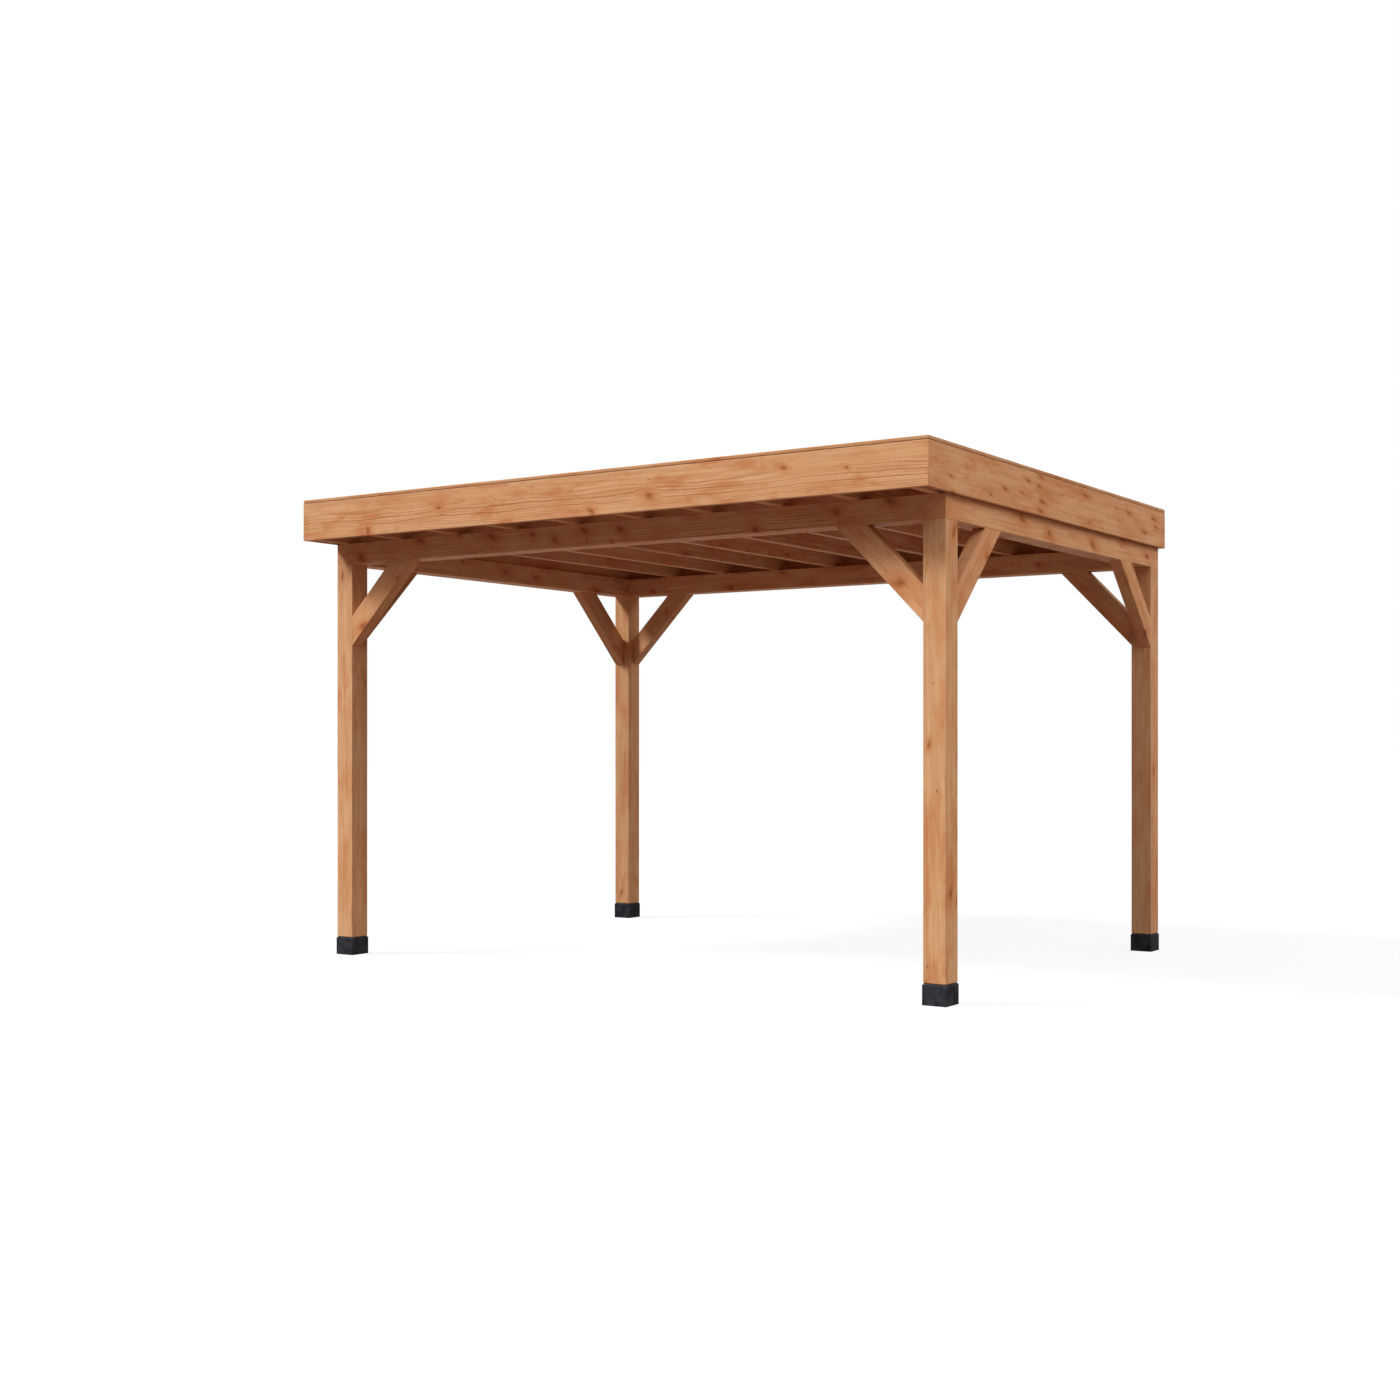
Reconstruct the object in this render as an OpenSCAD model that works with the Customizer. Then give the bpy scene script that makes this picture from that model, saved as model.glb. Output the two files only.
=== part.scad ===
// Patio canopy: an open timber frame on four posts, with knee braces and a flat roof.
// Millimetres. X runs along the front, Y to the back, Z up.
// The origin is on the ground, under the middle of the roof.

/* [Roof] */
// Width of the roof over its edge boards
roof_wide = 4000; // [2800:10:6000]
// Depth of the roof over its edge boards
roof_deep = 3000; // [2200:10:5000]
// How far the roof reaches in front of the front posts
front_overhang = 230; // [60:5:600]
// Thickness of the edge boards
fascia_thick = 28; // [18:1:45]
// Height of the edge boards
fascia_high = 210; // [180:5:300]
// Gap between a side or back edge board and the beam beside it
fascia_clear = 2; // [1:1:40]
// Thickness of the cover boards on the roof edge
coping_thick = 18; // [12:1:30]
// How far a cover board reaches past the kerb, inside the roof
coping_lip = 10; // [4:1:30]
// Width of the kerb battens that carry the cover boards
kerb_wide = 45; // [30:1:70]
// Thickness of the roof deck
deck_thick = 18; // [12:1:27]
// Thickness of the black roof sheet
sheet_thick = 2; // [1:0.5:3]

/* [Joists] */
// Number of roof joists
joist_count = 10; // [5:1:16]
// Width of a joist
joist_wide = 45; // [30:1:70]
// Height of a joist
joist_high = 145; // [100:5:150]

/* [Frame] */
// Height of the beams' underside above the ground
clear_height = 2250; // [2000:10:2800]
// Side of the square posts, and width of the beams
post_side = 120; // [90:1:160]
// Height of the beams
beam_high = 120; // [90:1:200]
// Bevel around the lower end of a post
post_bevel = 5; // [1:1:10]

/* [Knee braces] */
// Reach of a brace along the post, and along the beam
brace_leg = 470; // [350:5:700]
// Width of a brace, across its length, in its own plane
brace_wide = 120; // [80:1:160]
// Thickness of a brace
brace_thick = 70; // [40:1:90]

/* [Feet] */
// Height of a foot block
foot_high = 100; // [50:5:200]
// How far a foot block stands out past the post
foot_proud = 4; // [0:1:20]
// Bevel around the top of a foot block
foot_bevel = 6; // [1:1:15]

/* [Hidden] */
timber = [0.72, 0.50, 0.33];
timber_shade = [0.62, 0.42, 0.28];
foot_grey = [0.16, 0.17, 0.19];
sheet_black = [0.08, 0.08, 0.09];

side_overhang = fascia_thick + fascia_clear;
frame_left = -roof_wide / 2 + side_overhang;
frame_right = roof_wide / 2 - side_overhang;
frame_front = -roof_deep / 2 + front_overhang;
frame_back = roof_deep / 2 - side_overhang;
frame_wide = frame_right - frame_left;
frame_deep = frame_back - frame_front;

joist_base = clear_height + beam_high;
deck_base = joist_base + joist_high;
deck_top = deck_base + deck_thick;
fascia_top = joist_base + fascia_high;
coping_base = fascia_top + sheet_thick;

inner_wide = roof_wide - 2 * fascia_thick;
inner_deep = roof_deep - 2 * fascia_thick;
well_wide = inner_wide - 2 * kerb_wide;
well_deep = inner_deep - 2 * kerb_wide;
kerb_high = fascia_top - deck_top;
coping_wide = fascia_thick + kerb_wide + sheet_thick + coping_lip;

foot_side = post_side + 2 * foot_proud;
joist_pitch = (frame_wide - post_side) / (joist_count - 1);
brace_inner_leg = brace_leg - brace_wide * sqrt(2);

// Side view of a square block, with its lower and upper corners cut off
module bevelled_side(side, high, low_bevel, high_bevel) {
    half = side / 2;
    polygon([
        [-half + low_bevel, 0], [half - low_bevel, 0], [half, low_bevel],
        [half, high - high_bevel], [half - high_bevel, high], [-half + high_bevel, high],
        [-half, high - high_bevel], [-half, low_bevel]
    ]);
}

// Square block with bevelled ends: two side views, each run through the block and crossed
module bevelled_block(side, high, low_bevel, high_bevel) {
    intersection() {
        rotate([90, 0, 0])
            linear_extrude(side, center = true)
                bevelled_side(side, high, low_bevel, high_bevel);
        rotate([90, 0, 90])
            linear_extrude(side, center = true)
                bevelled_side(side, high, low_bevel, high_bevel);
    }
}

// Places its children on a post's centre line: -1 or 1 for left or right, and for front or back
module at_post(side_x, side_y) {
    post_x = side_x < 0 ? frame_left + post_side / 2 : frame_right - post_side / 2;
    post_y = side_y < 0 ? frame_front + post_side / 2 : frame_back - post_side / 2;
    translate([post_x, post_y, 0]) children();
}

module foot(side_x, side_y) {
    color(foot_grey)
        at_post(side_x, side_y)
            bevelled_block(foot_side, foot_high, 0, foot_bevel);
}

module post(side_x, side_y) {
    color(timber)
        at_post(side_x, side_y)
            translate([0, 0, foot_high])
                bevelled_block(post_side, clear_height - foot_high, post_bevel, 0);
}

// The side beams run the whole depth of the frame, flush with the outer faces of the posts
module side_beam(side_x) {
    beam_x = side_x < 0 ? frame_left : frame_right - post_side;
    color(timber)
        translate([beam_x, frame_front, clear_height])
            cube([post_side, frame_deep, beam_high]);
}

// The front and back beams fit between the side beams
module cross_beam(side_y) {
    beam_y = side_y < 0 ? frame_front : frame_back - post_side;
    color(timber_shade)
        translate([frame_left + post_side, beam_y, clear_height])
            cube([frame_wide - 2 * post_side, post_side, beam_high]);
}

// A brace seen square on: its corner is where the post meets the beam, and it leans to +X
module brace_outline() {
    polygon([
        [0, -brace_leg], [brace_leg, 0], [brace_inner_leg, 0], [0, -brace_inner_leg]
    ]);
}

// Brace in the front or back plane, flush with the outer face of the frame
module cross_brace(side_x, side_y) {
    corner_x = side_x < 0 ? frame_left + post_side : frame_right - post_side;
    outer_y = side_y < 0 ? frame_front + brace_thick : frame_back;
    color(timber_shade)
        translate([corner_x, outer_y, clear_height])
            rotate([90, 0, 0])
                linear_extrude(brace_thick)
                    mirror([side_x < 0 ? 0 : 1, 0])
                        brace_outline();
}

// Brace in the left or right plane, flush with the outer face of the frame
module side_brace(side_x, side_y) {
    outer_x = side_x < 0 ? frame_left : frame_right - brace_thick;
    corner_y = side_y < 0 ? frame_front + post_side : frame_back - post_side;
    color(timber_shade)
        translate([outer_x, corner_y, clear_height])
            rotate([90, 0, 90])
                linear_extrude(brace_thick)
                    mirror([side_y < 0 ? 0 : 1, 0])
                        brace_outline();
}

// The first and last joists stand on the middle of the side beams
module joist(place) {
    joist_x = frame_left + post_side / 2 + (place - 1) * joist_pitch;
    color(timber_shade)
        translate([joist_x - joist_wide / 2, -inner_deep / 2, joist_base])
            cube([joist_wide, inner_deep, joist_high]);
}

// Plan of an edge board on the front side, mitred at both ends
module mitred_plan(long, across) {
    half = long / 2;
    polygon([[-half, 0], [half, 0], [half - across, across], [-half + across, across]]);
}

// Turns a board made for the front edge to the front, right, back or left edge of the roof
module at_edge(edge) {
    edge_reach = edge % 2 == 0 ? roof_deep / 2 : roof_wide / 2;
    rotate([0, 0, 90 * edge])
        translate([0, -edge_reach, 0])
            children();
}

function edge_long(edge) = edge % 2 == 0 ? roof_wide : roof_deep;

module fascia(edge) {
    color(timber)
        at_edge(edge)
            translate([0, 0, joist_base])
                linear_extrude(fascia_high)
                    mitred_plan(edge_long(edge), fascia_thick);
}

module coping(edge) {
    color(timber)
        at_edge(edge)
            translate([0, 0, coping_base])
                linear_extrude(coping_thick)
                    mitred_plan(edge_long(edge), coping_wide);
}

// Kerb batten along an edge of the deck; the side battens fit between the front and back ones
module kerb(edge) {
    kerb_long = edge % 2 == 0 ? inner_wide : well_deep;
    color(timber_shade)
        at_edge(edge)
            translate([-kerb_long / 2, fascia_thick, deck_top])
                cube([kerb_long, kerb_wide, kerb_high]);
}

module roof_deck() {
    color(timber_shade)
        translate([-inner_wide / 2, -inner_deep / 2, deck_base])
            cube([inner_wide, inner_deep, deck_thick]);
}

// The sheet lies on the deck, turns up inside the kerb and covers the kerb and the edge boards
module roof_membrane() {
    bed_wide = well_wide - 2 * sheet_thick;
    bed_deep = well_deep - 2 * sheet_thick;
    color(sheet_black) {
        translate([0, 0, deck_top])
            linear_extrude(sheet_thick)
                square([well_wide, well_deep], center = true);
        translate([0, 0, deck_top])
            linear_extrude(coping_base - deck_top)
                difference() {
                    square([well_wide, well_deep], center = true);
                    square([bed_wide, bed_deep], center = true);
                }
        translate([0, 0, fascia_top])
            linear_extrude(sheet_thick)
                difference() {
                    square([roof_wide, roof_deep], center = true);
                    square([bed_wide, bed_deep], center = true);
                }
    }
}

foot(-1, -1);  // foot_front_left
foot(1, -1);  // foot_front_right
foot(-1, 1);  // foot_back_left
foot(1, 1);  // foot_back_right
post(-1, -1);  // post_front_left
post(1, -1);  // post_front_right
post(-1, 1);  // post_back_left
post(1, 1);  // post_back_right
cross_beam(-1);  // beam_front
cross_beam(1);  // beam_back
side_beam(-1);  // beam_left
side_beam(1);  // beam_right
cross_brace(-1, -1);  // front_brace_left
cross_brace(1, -1);  // front_brace_right
cross_brace(-1, 1);  // back_brace_left
cross_brace(1, 1);  // back_brace_right
side_brace(-1, -1);  // left_brace_front
side_brace(-1, 1);  // left_brace_back
side_brace(1, -1);  // right_brace_front
side_brace(1, 1);  // right_brace_back
for (place = [1 : joist_count])
    joist(place);
fascia(0);  // fascia_front
fascia(1);  // fascia_right
fascia(2);  // fascia_back
fascia(3);  // fascia_left
kerb(0);  // kerb_front
kerb(1);  // kerb_right
kerb(2);  // kerb_back
kerb(3);  // kerb_left
coping(0);  // coping_front
coping(1);  // coping_right
coping(2);  // coping_back
coping(3);  // coping_left
roof_deck();
roof_membrane();
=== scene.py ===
# %% [markdown]
# # A patio canopy, dressed in planed softwood
# The canopy is an open frame: four square posts on dark foot blocks, a ring of beams with knee braces,
# ten joists, a boarded flat roof and a tall edge board all round.
# The solid model already gives every size, so this lesson loads it as a fixed frame and lays the finished
# pieces over it. Each timber gets eased edges, a grain of its own and end grain where it was sawn.

# %% Load the solids and keep their box
import math
import random
from collections import namedtuple

import bmesh
import bpy
from mathutils import Matrix, Vector, noise


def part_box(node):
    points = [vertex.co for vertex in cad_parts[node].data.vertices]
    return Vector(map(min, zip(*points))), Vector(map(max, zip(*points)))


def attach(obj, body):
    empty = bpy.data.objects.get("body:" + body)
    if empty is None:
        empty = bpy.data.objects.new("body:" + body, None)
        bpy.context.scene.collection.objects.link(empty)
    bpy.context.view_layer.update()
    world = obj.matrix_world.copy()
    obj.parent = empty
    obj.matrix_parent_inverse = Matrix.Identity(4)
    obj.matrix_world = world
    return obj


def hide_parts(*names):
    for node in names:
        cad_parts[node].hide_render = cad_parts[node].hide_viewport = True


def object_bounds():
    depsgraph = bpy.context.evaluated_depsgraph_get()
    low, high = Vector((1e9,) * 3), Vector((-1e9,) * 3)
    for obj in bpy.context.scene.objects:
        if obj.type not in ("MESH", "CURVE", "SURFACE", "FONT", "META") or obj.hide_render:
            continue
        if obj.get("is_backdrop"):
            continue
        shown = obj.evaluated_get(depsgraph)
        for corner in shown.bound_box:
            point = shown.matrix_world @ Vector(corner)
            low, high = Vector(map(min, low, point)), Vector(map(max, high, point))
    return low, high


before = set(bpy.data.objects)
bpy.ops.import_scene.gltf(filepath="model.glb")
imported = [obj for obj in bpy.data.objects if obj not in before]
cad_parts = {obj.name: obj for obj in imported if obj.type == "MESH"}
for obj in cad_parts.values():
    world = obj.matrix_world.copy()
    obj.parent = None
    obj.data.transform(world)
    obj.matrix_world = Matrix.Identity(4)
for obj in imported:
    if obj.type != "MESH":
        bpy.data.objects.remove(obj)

cad_low, cad_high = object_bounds()
scene = bpy.context.scene
print("solids loaded:", len(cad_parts), "box", tuple(cad_low), tuple(cad_high))

# %% [markdown]
# ## The camera
# The photograph keeps every upright truly vertical, so its camera was level, and the canopy was framed by
# sliding the picture rather than by tilting. In Blender that is a level camera with a small lens shift.
# Place, turn and focal length were solved from the corners of posts, beams and edge boards.

# %% Set up the level camera
CAMERA_SPOT = (5.7094, -8.5870, 1.1990)
CAMERA_TURN = 0.5656
lens = bpy.data.cameras.new("photo_camera")
lens.sensor_width = 36.0
lens.lens = 45.72
lens.shift_x = -0.0571
lens.shift_y = 0.0334
camera = bpy.data.objects.new("photo_camera", lens)
camera.location = CAMERA_SPOT
camera.rotation_euler = (math.radians(90.0), 0.0, CAMERA_TURN)
scene.collection.objects.link(camera)
scene.camera = camera
scene.view_settings.view_transform = "Standard"
print("camera", CAMERA_SPOT, "lens", lens.lens)

# %% [markdown]
# ## The lamp
# One broad lamp stands to the front left, high up. It lights the front faces, and the roof's edge throws
# a soft shadow across the tops of the posts. A sun lamp does this with one direction for the whole
# canopy, and its angle sets how soft that shadow is.

# %% Hang the broad lamp
LIGHT_RUNS = Vector((0.80, 0.64, -1.0))
sun = bpy.data.lights.new("broad_lamp", "SUN")
sun.energy = 3.42
sun.angle = math.radians(14.0)
lamp = bpy.data.objects.new("broad_lamp", sun)
lamp.rotation_euler = LIGHT_RUNS.to_track_quat("-Z", "Y").to_euler()
scene.collection.objects.link(lamp)
print("lamp", sun.energy, "spread", round(math.degrees(sun.angle), 1))

# %% [markdown]
# ## A bench for nodes
# Sky, floor and finishes are all built from shader nodes. In the editor they are dragged in and wired by
# hand; in a script each node takes several lines, and the pattern gets lost among them. This helper puts
# a node down, feeds its inputs and hands back its output, so that a line below reads like the sum it
# stands for.


# %% A bench for laying out nodes
class Bench:
    """Puts nodes on one tree. Any input takes a number, a colour or another node's socket."""

    PER_ROW, ROOM_ACROSS, ROOM_DOWN = 9, 210, 260

    def __init__(self, tree):
        self.tree = tree

    def put(self, kind, feeds=None, **settings):
        node = self.tree.nodes.new(kind)
        row, place = divmod(len(self.tree.nodes), self.PER_ROW)
        node.location = (self.ROOM_ACROSS * place, -self.ROOM_DOWN * row)
        for key, value in settings.items():
            setattr(node, key, value)
        for key, value in (feeds or {}).items():
            self.feed(node.inputs[key], value)
        return node

    def feed(self, socket, value):
        if isinstance(value, bpy.types.NodeSocket):
            self.tree.links.new(value, socket)
        else:
            socket.default_value = value

    def calc(self, operation, *values):
        node = self.put("ShaderNodeMath", dict(enumerate(values)), operation=operation)
        return node.outputs[0]

    def fit(self, value, low, high, start=0.0, end=1.0):
        """A smooth step from start to end while value goes from low to high."""
        feeds = {"Value": value, "From Min": low, "From Max": high, "To Min": start, "To Max": end}
        node = self.put("ShaderNodeMapRange", feeds, interpolation_type="SMOOTHSTEP")
        return node.outputs["Result"]

    def mix(self, factor, first, second, mode="MIX"):
        """Blends two colours. A Mix node's kinds share their names, so its sockets go by number."""
        feeds = {0: factor, 6: first, 7: second}
        node = self.put("ShaderNodeMix", feeds, data_type="RGBA", blend_type=mode)
        return node.outputs[2]

    def stretch(self, vector, along, across):
        feeds = {0: vector, 1: (along, across, across)}
        return self.put("ShaderNodeVectorMath", feeds, operation="MULTIPLY").outputs["Vector"]

    def cloud(self, vector, scale=1.0, detail=2.0, rough=0.5):
        feeds = {"Vector": vector, "Scale": scale, "Detail": detail, "Roughness": rough}
        return self.put("ShaderNodeTexNoise", feeds).outputs["Fac"]

    def attribute(self, title, output):
        return self.put("ShaderNodeAttribute", attribute_name=title).outputs[output]

    def split(self, vector):
        return self.put("ShaderNodeSeparateXYZ", {0: vector}).outputs

    def mirrored(self):
        """1 for rays from the camera, straight, reflected by gloss or through something clear."""
        path = self.put("ShaderNodeLightPath").outputs
        through = self.calc("MAXIMUM", path["Is Glossy Ray"], path["Is Transmission Ray"])
        return self.calc("MAXIMUM", path["Is Camera Ray"], through)


def clear_bench(owner):
    """Takes the nodes off a world or a material, ready for new ones."""
    owner.use_nodes = True
    owner.node_tree.nodes.clear()
    return Bench(owner.node_tree)


print("bench ready")

# %% [markdown]
# ## The sky
# The sky fills in where the lamp doesn't reach. It is brightest to the right at middle height, and dim
# near the horizon, low down in front and straight overhead. So the space under the roof and behind its
# front edge stays dark, and the flat top doesn't burn out. To the camera, and in anything that mirrors
# it, the same sky is plain white, which takes a Light Path node.

# %% Paint the sky
WHITE = (1.0, 1.0, 1.0, 1.0)
LOW_TINT, HIGH_TINT = (1.0, 0.64, 0.45, 1.0), (1.0, 0.985, 0.97, 1.0)
BRIGHT_WAY, EVEN_SHARE = (0.58, -0.33, 0.0), 0.61
BAND_LEVEL, OVERHEAD_LEVEL = 3.2, 0.1
world = bpy.data.worlds.new("studio_sky")
scene.world = world
sky = clear_bench(world)
aim = sky.put("ShaderNodeTexCoord").outputs["Generated"]
part = sky.split(aim)
height = part["Z"]
# In front the bright band starts higher up, and a little light is left below it.
sunk = sky.calc("ADD", height, sky.fit(part["Y"], -1.0, 0.0, -0.22, 0.0))
low_level = sky.fit(part["Y"], -1.0, 0.0, 0.22, 0.05)
rising = sky.fit(sunk, 0.19, 0.63, low_level, BAND_LEVEL)
overhead = sky.fit(height, 0.68, 0.92, 1.0, OVERHEAD_LEVEL)
facing = sky.put("ShaderNodeVectorMath", {0: aim, 1: BRIGHT_WAY}, operation="DOT_PRODUCT")
facing = sky.calc("ADD", facing.outputs["Value"], EVEN_SHARE)
level = sky.calc("MULTIPLY", sky.calc("MULTIPLY", rising, overhead), facing)
level = sky.calc("MULTIPLY", level, sky.fit(height, -0.02, 0.0))
tint = sky.mix(sky.fit(height, 0.0, 0.65), LOW_TINT, HIGH_TINT)
glow = sky.put("ShaderNodeBackground", {"Color": tint, "Strength": level})
white = sky.put("ShaderNodeBackground", {"Color": WHITE, "Strength": 1.0})
pictured = sky.mirrored()
either = sky.put("ShaderNodeMixShader", {0: pictured, 1: glow.outputs[0], 2: white.outputs[0]})
sky.put("ShaderNodeOutputWorld", {"Surface": either.outputs[0]})
print("sky nodes", len(world.node_tree.nodes))

# %% [markdown]
# ## The floor
# The floor is a plain pale sheet. The camera sees it almost white, with just enough of the real shading
# left in it to keep the canopy's soft shadow. For the light that bounces back up it is a dull tan, so
# that the underside of the roof keeps its depth. Seen from underneath the sheet is clear, and it lies
# half a millimetre below the feet, so that a view from below shows them.

# %% Paint the floor
DULL_TAN, SHADE_SHARE = (0.23, 0.165, 0.142, 1.0), (0.15, 0.15, 0.15, 1.0)
PALE_LEVEL = 0.85
floor_paint = bpy.data.materials.new("pale_floor")
paint = clear_bench(floor_paint)
bounce = paint.put("ShaderNodeBsdfDiffuse", {"Color": DULL_TAN})
shadow = paint.put("ShaderNodeBsdfDiffuse", {"Color": SHADE_SHARE})
pale = paint.put("ShaderNodeEmission", {"Color": WHITE, "Strength": PALE_LEVEL})
shown = paint.put("ShaderNodeAddShader", {0: pale.outputs[0], 1: shadow.outputs[0]})
pictured = paint.mirrored()
either = paint.put("ShaderNodeMixShader", {0: pictured, 1: bounce.outputs[0], 2: shown.outputs[0]})
seen = paint.put("ShaderNodeLightPath").outputs["Is Camera Ray"]
behind = paint.put("ShaderNodeNewGeometry").outputs["Backfacing"]
below = paint.calc("MULTIPLY", seen, behind)
clear = paint.put("ShaderNodeBsdfTransparent")
from_above = paint.put("ShaderNodeMixShader", {0: below, 1: either.outputs[0], 2: clear.outputs[0]})
paint.put("ShaderNodeOutputMaterial", {"Surface": from_above.outputs[0]})
print("floor nodes", len(floor_paint.node_tree.nodes))

# %% Lay the floor
FLOOR_HALF, FLOOR_DROP = 60.0, 0.0005
plane = bmesh.new()
bmesh.ops.create_grid(plane, x_segments=1, y_segments=1, size=FLOOR_HALF)
bmesh.ops.translate(plane, vec=(0.0, 0.0, -FLOOR_DROP), verts=plane.verts)
floor_mesh = bpy.data.meshes.new("floor")
plane.to_mesh(floor_mesh)
plane.free()
floor_mesh.materials.append(floor_paint)
floor = bpy.data.objects.new("floor", floor_mesh)
scene.collection.objects.link(floor)
floor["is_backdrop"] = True
print("floor", tuple(floor.dimensions))

# %% [markdown]
# ## How a timber carries its grain
# A plank is a slice of a tree: its rings lie round a pith that is mostly outside the plank. Painted lines
# would break at every corner, so the pattern here is solid. Every vertex stores its place in the tree as
# an attribute called grain: metres along the trunk, outwards from the pith, and sideways.
# The shader draws rings round the pith from that alone. Faces, edges and sawn ends then agree with each
# other, and a brace at 45 degrees needs nothing special. Further attributes, stock and branch, say how
# dark and how knotty a piece is, so that one finish serves many pieces.
# Each layer of the pattern is a node group: it is built once, and every finish places it with its own
# values.


# %% Helpers: node groups
def new_group(title, inputs, outputs):
    """A shader node group; a float, a colour or None (a vector) gives the kind of each input."""
    tree = bpy.data.node_groups.new(title, "ShaderNodeTree")
    for key, value in inputs.items():
        kind = "NodeSocketVector"
        if isinstance(value, float):
            kind = "NodeSocketFloat"
        elif value is not None:
            kind = "NodeSocketColor"
        socket = tree.interface.new_socket(key, in_out="INPUT", socket_type=kind)
        if value is not None:
            socket.default_value = value
    for key in outputs:
        kind = "NodeSocketColor" if key == "Color" else "NodeSocketFloat"
        tree.interface.new_socket(key, in_out="OUTPUT", socket_type=kind)
    bench = Bench(tree)
    return bench, bench.put("NodeGroupInput").outputs, bench.put("NodeGroupOutput").inputs


def use_group(bench, title, feeds):
    return bench.put("ShaderNodeGroup", feeds, node_tree=bpy.data.node_groups[title]).outputs


print("node group helpers ready")

# %% [markdown]
# ## Knots
# Branches leave the pith like spokes, so knots are placed by distance along the trunk and by angle round
# it: one Voronoi cell is one possible branch. The cells lean, because a branch grows upwards as well as
# outwards, and a knot is cut as a slanting oval. A little noise makes its outline ragged.

# %% Node group: knots
LEAN, RAGGED, SMALLEST = -0.45, (0.12, 0.12, 0.0), 0.35
knots, given, result = new_group(
    "branch_knots",
    {"Grain": None, "Share": 0.5, "Every": 0.4, "Size": 0.1, "Turn": 0.9},
    ("Knot", "Core", "Pull"),
)
part = knots.split(given["Grain"])
turn = knots.calc("ARCTAN2", part["Z"], part["Y"])
along = knots.calc("DIVIDE", part["X"], given["Every"])
around = knots.calc("MULTIPLY_ADD", along, LEAN, knots.calc("DIVIDE", turn, given["Turn"]))
place = knots.put("ShaderNodeCombineXYZ", {0: along, 1: around}).outputs[0]
outline = {"Vector": knots.stretch(given["Grain"], 16.0, 45.0), "Scale": 1.0}
ragged = knots.put("ShaderNodeTexNoise", outline).outputs["Color"]
shifted = {0: ragged, 1: RAGGED, 2: place}
place = knots.put("ShaderNodeVectorMath", shifted, operation="MULTIPLY_ADD").outputs[0]
cells = {"Vector": place, "Scale": 1.0}
cell = knots.put("ShaderNodeTexVoronoi", cells, voronoi_dimensions="2D").outputs
chance = knots.put("ShaderNodeSeparateColor", {0: cell["Color"]}).outputs
grown = knots.calc("LESS_THAN", chance[0], given["Share"])
radius = knots.calc("MULTIPLY", given["Size"], knots.calc("ADD", chance[1], SMALLEST))
away = knots.calc("DIVIDE", cell["Distance"], radius)
for mask, (near, far) in {"Knot": (0.35, 1.2), "Core": (0.15, 0.6), "Pull": (0.4, 3.2)}.items():
    knots.feed(result[mask], knots.calc("MULTIPLY", grown, knots.fit(away, near, far, 1.0, 0.0)))
print("branch_knots:", len(knots.tree.nodes), "nodes")

# %% [markdown]
# ## Growth rings
# Each year's ring starts pale and ends in a thin dark line of late wood. Their radius wanders along the
# trunk, which turns straight lines into the long arches of a plank's face, and they bend round every
# knot. A sawtooth of the radius gives the shape of one year, and a random number per ring stops the
# years from looking alike. Straight out from the pith a face runs flat to the rings and shows them broad
# and faint; to the sides it cuts across them, and the lines are crisp.

# %% Node group: growth rings
QUICK_WANDER = 0.008
rings, given, result = new_group(
    "growth_rings",
    {"Grain": None, "Gap": 0.007, "Wander": 0.02, "Pull": 0.0, "Lift": 0.012},
    ("Late", "Year"),
)
part = rings.split(given["Grain"])
flat = rings.put("ShaderNodeCombineXYZ", {1: part["Y"], 2: part["Z"]}).outputs[0]
reach = rings.put("ShaderNodeVectorMath", {0: flat}, operation="LENGTH").outputs["Value"]
slant = rings.calc("DIVIDE", rings.calc("ABSOLUTE", part["Z"]), reach)
slow = rings.calc("SUBTRACT", rings.cloud(rings.stretch(given["Grain"], 1.6, 6.0)), 0.5)
quick = rings.calc("SUBTRACT", rings.cloud(rings.stretch(given["Grain"], 6.0, 24.0)), 0.5)
reach = rings.calc("MULTIPLY_ADD", slow, given["Wander"], reach)
reach = rings.calc("MULTIPLY_ADD", quick, QUICK_WANDER, reach)
reach = rings.calc("MULTIPLY_ADD", given["Pull"], given["Lift"], reach)
years = rings.calc("DIVIDE", reach, given["Gap"])
season = rings.calc("FRACT", years)
dark = rings.calc("MULTIPLY", rings.fit(season, 0.42, 0.92), rings.fit(season, 0.94, 1.0, 1.0, 0.0))
whole = {"W": rings.calc("FLOOR", years)}
luck = rings.put("ShaderNodeTexWhiteNoise", whole, noise_dimensions="1D").outputs["Value"]
calm = rings.cloud(rings.stretch(given["Grain"], 1.1, 7.0))
dark = rings.calc("MULTIPLY", dark, rings.fit(luck, 0.0, 1.0, 0.3, 1.0))
dark = rings.calc("MULTIPLY", dark, rings.fit(slant, 0.2, 0.65, 0.2, 1.0))
rings.feed(result["Late"], rings.calc("MULTIPLY", dark, rings.fit(calm, 0.35, 0.62, 0.35, 1.0)))
rings.feed(result["Year"], luck)
print("growth_rings:", len(rings.tree.nodes), "nodes")

# %% [markdown]
# ## Fibres, warm patches and drying checks
# Between the rings the surface is full of fine streaks along the grain, and over a hand's width it shifts
# between straw and a reddish tan. Big timbers also split a little as they dry, in short thin lines that
# follow the fibres. All three are noise, stretched along the trunk by different amounts: a check is the
# thin place where a very long noise crosses its middle.

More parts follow.
